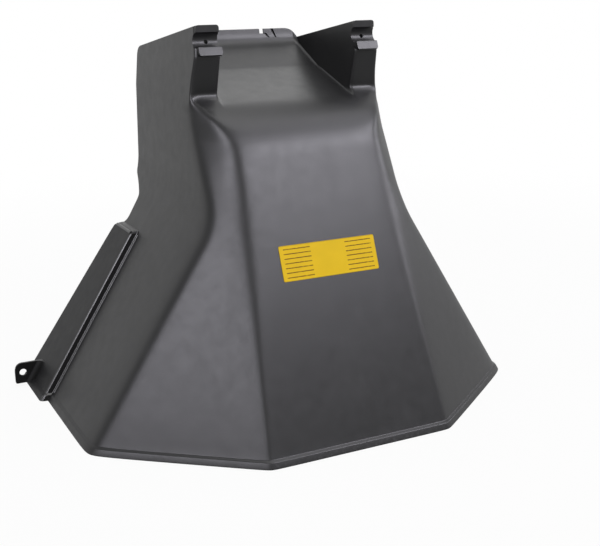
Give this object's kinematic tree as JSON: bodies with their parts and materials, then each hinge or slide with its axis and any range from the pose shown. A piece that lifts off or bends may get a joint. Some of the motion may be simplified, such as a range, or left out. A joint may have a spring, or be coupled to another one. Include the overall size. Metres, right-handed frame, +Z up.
{
  "type": "mower deck deflector",
  "caption": "Moulded hood that turns cut grass down from a mower deck: flared faceted outlet, roof between horns with bar saddles, raised rear strips, side ear and sticker.",
  "frame": {"origin": "middle of the outlet edge's straight front run, on the plane that the edge rests on", "axes": "+Z up through the horns, -Y out of the front panel, +X to the right of someone who faces the front panel"},
  "size_m": [0.7199, 0.4621, 0.538],
  "materials": {
    "black_plastic": "satin black moulded polypropylene with a fine grain",
    "sticker_film": "printed yellow film, semi-gloss"
  },
  "bodies": {
    "root": {"deflector_hood": "black_plastic", "sticker": "sticker_film"}
  },
  "joints": []
}
